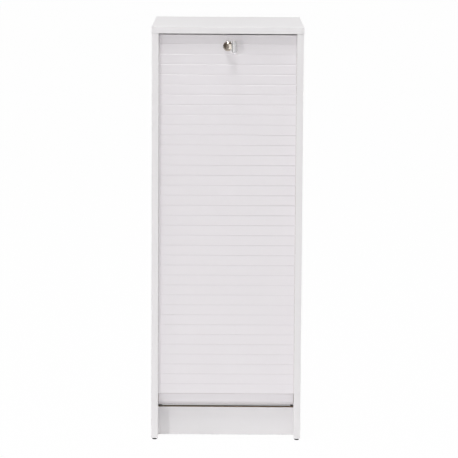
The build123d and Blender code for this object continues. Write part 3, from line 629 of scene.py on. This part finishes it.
def curtain_front():
    """The front run: its face foil, and the fibreboard slats glued behind it.

    The foil's seed reaches from one hinge line to the next, with what lies between them of their creases.
    """
    top = face_high.z
    foot = top - PITCH
    upper = [point for point in crease_line(top) if point[1] <= top + TOUCH]
    lower = [point for point in crease_line(foot) if point[1] >= foot - TOUCH]
    back = CURTAIN_FACE_Y + FACE_SKIN
    front_line = upper + lower
    form = bmesh.new()
    sides = (-CURTAIN_HALF_WIDTH, CURTAIN_HALF_WIDTH)
    columns = [[form.verts.new((x, y, z)) for y, z in front_line] for x in sides]
    rear = [[form.verts.new((x, back, z)) for z in (top, foot)] for x in sides]
    for n in range(len(front_line) - 1):
        form.faces.new((columns[0][n], columns[0][n + 1], columns[1][n + 1], columns[1][n]))
    form.faces.new((rear[0][0], rear[1][0], rear[1][1], rear[0][1]))
    form.faces.new(columns[0] + rear[0][::-1])
    form.faces.new(columns[1][::-1] + rear[1])
    mesh = bpy.data.meshes.new("foil_seed")
    form.to_mesh(mesh)
    form.free()
    run = in_a_row(mesh, SLAT_COUNT, (0, 0, -PITCH), curtain_foil)
    join_curtain(run)
    shade_round(run, 60)
    foil = place_piece("curtain_face", run, "shutter", curtain_foil, ["curtain_foil"])
    slats = curtain_core()
    for piece in (foil, slats):
        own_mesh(piece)


def curtain_core():
    """The slats behind the foil, with their tongues, undercut so that they can turn in the bend."""
    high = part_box("curtain_slats")[1]
    gap = 0.25 * MM
    undercut = 2.5 * MM
    tongue_thickness = 3.2 * MM
    tongue_inset = 2.0 * MM
    front, back = CURTAIN_FACE_Y + FACE_SKIN, high.y
    top = high.z
    body = [
        (front, top),
        (front, top - PITCH + 2 * gap),
        (back, top - PITCH + 2 * gap + undercut),
        (back, top - undercut),
    ]
    middle = CURTAIN_FACE_Y + (back - CURTAIN_FACE_Y) / 2
    tongue_front, tongue_back = middle - tongue_thickness / 2, middle + tongue_thickness / 2
    tongue_top = top + gap - tongue_inset
    tongue_foot = top + gap - PITCH + tongue_inset
    tongue = [
        (tongue_front, tongue_top),
        (tongue_front, tongue_foot),
        (tongue_back, tongue_foot),
        (tongue_back, tongue_top),
    ]
    form = bmesh.new()
    for outline, half_width in ((body, CURTAIN_HALF_WIDTH), (tongue, high.x)):
        form.from_mesh(bar_mesh("slat_part", outline, half_width))
    mesh = bpy.data.meshes.new("slat_seed")
    form.to_mesh(mesh)
    form.free()
    run = in_a_row(mesh, SLAT_COUNT, (0, 0, -PITCH), slat_core)
    return place_piece("curtain_slat_cores", run, "shutter", slat_core, ["curtain_slats"])


# ---- dressing ------------------------------------------------------------------------------------------
BOARD_AXES = {
    "top_panel": 2,
    "side_left": 0,
    "side_right": 0,
    "floor_panel": 2,
    "fixed_shelf": 2,
    "loose_shelf": 2,
    "plinth_front": 1,
    "plinth_rear": 1,
}
for node, axis in BOARD_AXES.items():
    dress(node, board_material(node, axis))
for node in ("inner_back", "back_panel"):
    dress(node, hardboard)
for node in ("cam_bolts", "cam_discs", "back_nails", "shelf_pins", "strike_screws", "hook_screw"):
    dress(node, zinc)
dress("dowels", beech)
dress("lock_housing", nickel)
dress("lock_plug", turned_nickel)
for node in ("bend_slats", "floor_run_slats", "tail_bar"):
    dress(node, slat_core)
dress("tail_foil", curtain_foil)

for node in ("top_edge_bands", "side_edge_bands", "shelf_edge_bands"):
    softened(node, node + "_rounded", 0.22 * MM, "cabinet", edge_band)
softened("lead_rail", "lead_rail_rounded", 0.3 * MM, "shutter", curtain_foil, carve=carve_rail)
softened("lock_rosette", "lock_collar", 0.4 * MM, "shutter", turned_nickel, 3)
softened("lock_nut", "lock_nut_rounded", 0.3 * MM, "shutter", zinc)
softened("lock_hook", "lock_hook_rounded", 0.3 * MM, "plug", zinc)
softened("strike_plate", "strike_plate_rounded", 0.3 * MM, "cabinet", zinc)
softened("key_blade", "key_blade_rounded", 0.15 * MM, "key", key_steel)
softened("key_pin", "key_pin_rounded", 0.15 * MM, "key", key_steel)
softened("key_tang", "key_tang_rounded", 0.2 * MM, "bow", key_steel)
moulded_bow()
softened("glides", "glides_moulded", 0.4 * MM, "cabinet", glide_plastic, 3)
curtain_front()


# ---- floor, light and camera ---------------------------------------------------------------------------
def matt_white(name):
    """A matt white that only takes light and shadow."""
    material, tree, shader = blank_material(name, Roughness=0.9, Specular_IOR_Level=0.0)
    shader.inputs["Base Color"].default_value = FLOOR_WHITE
    return material, tree, shader


def glowing_white():
    """A matt white that looks plain white but for a faint shadow, in gloss and clear plastic too."""
    material, tree, shader = matt_white("studio_white")
    link = tree.links.new
    rays = tree.nodes.new("ShaderNodeLightPath")
    glow = add_node(tree, "ShaderNodeEmission", Color=PURE_WHITE, Strength=1.0)
    seen = rays.outputs["Is Camera Ray"]
    for kind in ("Is Transmission Ray", "Is Glossy Ray"):
        seen = calculate(tree, "ADD", seen, rays.outputs[kind], use_clamp=True)
    share = calculate(tree, "MULTIPLY", seen, FLOOR_GLOW)
    blend = tree.nodes.new("ShaderNodeMixShader")
    link(share, blend.inputs[0])
    link(shader.outputs[0], blend.inputs[1])
    link(glow.outputs[0], blend.inputs[2])
    link(blend.outputs[0], tree.nodes["Material Output"].inputs["Surface"])
    return material


def studio_floor():
    """A pale floor that runs up into a backdrop, with a dull patch where the cabinet covers it."""
    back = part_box("back_panel")[1].y
    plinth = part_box("plinth_front")[1]
    front, half_width, size, wall, bend, steps = -2.5, 24.0, 14.0, 9.0, 2.0, 12
    behind_plinth = plinth.y + 30 * MM
    profile = [(front, 0.0), (behind_plinth, 0.0), (back, 0.0), (size - bend, 0.0)]
    for n in range(1, steps + 1):
        turn = math.pi / 2 * n / steps
        profile.append((size - bend + bend * math.sin(turn), bend - bend * math.cos(turn)))
    profile.append((size, wall))
    columns = (-half_width, -plinth.x, plinth.x, half_width)
    form = bmesh.new()
    grid = [[form.verts.new((x, y, z)) for y, z in profile] for x in columns]
    for m in range(len(columns) - 1):
        for n in range(len(profile) - 1):
            face = form.faces.new((grid[m][n], grid[m + 1][n], grid[m + 1][n + 1], grid[m][n + 1]))
            under_cabinet = (m, n) == (1, 1)
            face.material_index = int(under_cabinet)
    mesh = bpy.data.meshes.new("studio_floor")
    form.to_mesh(mesh)
    form.free()
    floor = bpy.data.objects.new("studio_floor", mesh)
    bpy.context.scene.collection.objects.link(floor)
    shade_round(mesh, 40)
    mesh.materials.append(glowing_white())
    mesh.materials.append(matt_white("studio_under")[0])


def area_light(name, place, target, width, height, watts):
    """A soft rectangular light that faces its target."""
    lamp = bpy.data.lights.new(name, "AREA")
    lamp.shape = "RECTANGLE"
    lamp.size, lamp.size_y = width, height
    lamp.energy = watts
    light = bpy.data.objects.new(name, lamp)
    bpy.context.scene.collection.objects.link(light)
    light.location = place
    aim = Vector(target) - Vector(place)
    light.rotation_euler = aim.to_track_quat("-Z", "Y").to_euler()
    return light


def direction(turn, rise):
    """The way from the cabinet at an angle to the right of its front, and above the level."""
    turn, rise = math.radians(turn), math.radians(rise)
    return Vector((math.sin(turn) * math.cos(rise), -math.cos(turn) * math.cos(rise), math.sin(rise)))


def studio_light():
    """A pale surround, dim where gloss mirrors it, four lights without gloss and two cards for gloss."""
    world = bpy.data.worlds.new("surround")
    world.use_nodes = True
    tree = world.node_tree
    background = tree.nodes["Background"]
    rays = tree.nodes.new("ShaderNodeLightPath")
    room = mix_colors(tree, rays.outputs["Is Glossy Ray"], ROOM_WHITE, ROOM_IN_GLOSS)
    seen = mix_colors(tree, rays.outputs["Is Camera Ray"], room, PURE_WHITE)
    tree.links.new(seen, background.inputs["Color"])
    bpy.context.scene.world = world
    middle = Vector(LIGHT_TARGET)
    for name, turn, rise, reach, width, height, watts in MATT_LIGHTS:
        light = area_light(name, middle + reach * direction(turn, rise), middle, width, height, watts)
        light.visible_glossy = False
    lock = Vector(JOINTS["lock_turn"]["pos_m"])
    for name, turn, rise, reach, width, height, watts in SHINE_CARDS:
        card = area_light(name, lock + reach * direction(turn, rise), lock, width, height, watts)
        card.visible_diffuse = False


def place_camera():
    """A long lens a little above the top board, looking slightly down."""
    data = bpy.data.cameras.new("camera")
    data.sensor_width = 36
    data.lens = CAMERA_LENS
    data.clip_start, data.clip_end = 0.1, 100
    camera = bpy.data.objects.new("camera", data)
    bpy.context.scene.collection.objects.link(camera)
    turn = (
        Matrix.Rotation(CAMERA_YAW, 4, "Z")
        @ Matrix.Rotation(math.pi / 2 - CAMERA_PITCH, 4, "X")
        @ Matrix.Rotation(CAMERA_ROLL, 4, "Z")
    )
    camera.matrix_world = Matrix.Translation(CAMERA_PLACE) @ turn
    bpy.context.scene.camera = camera


studio_floor()
studio_light()
place_camera()
bpy.context.scene.view_settings.view_transform = "Standard"
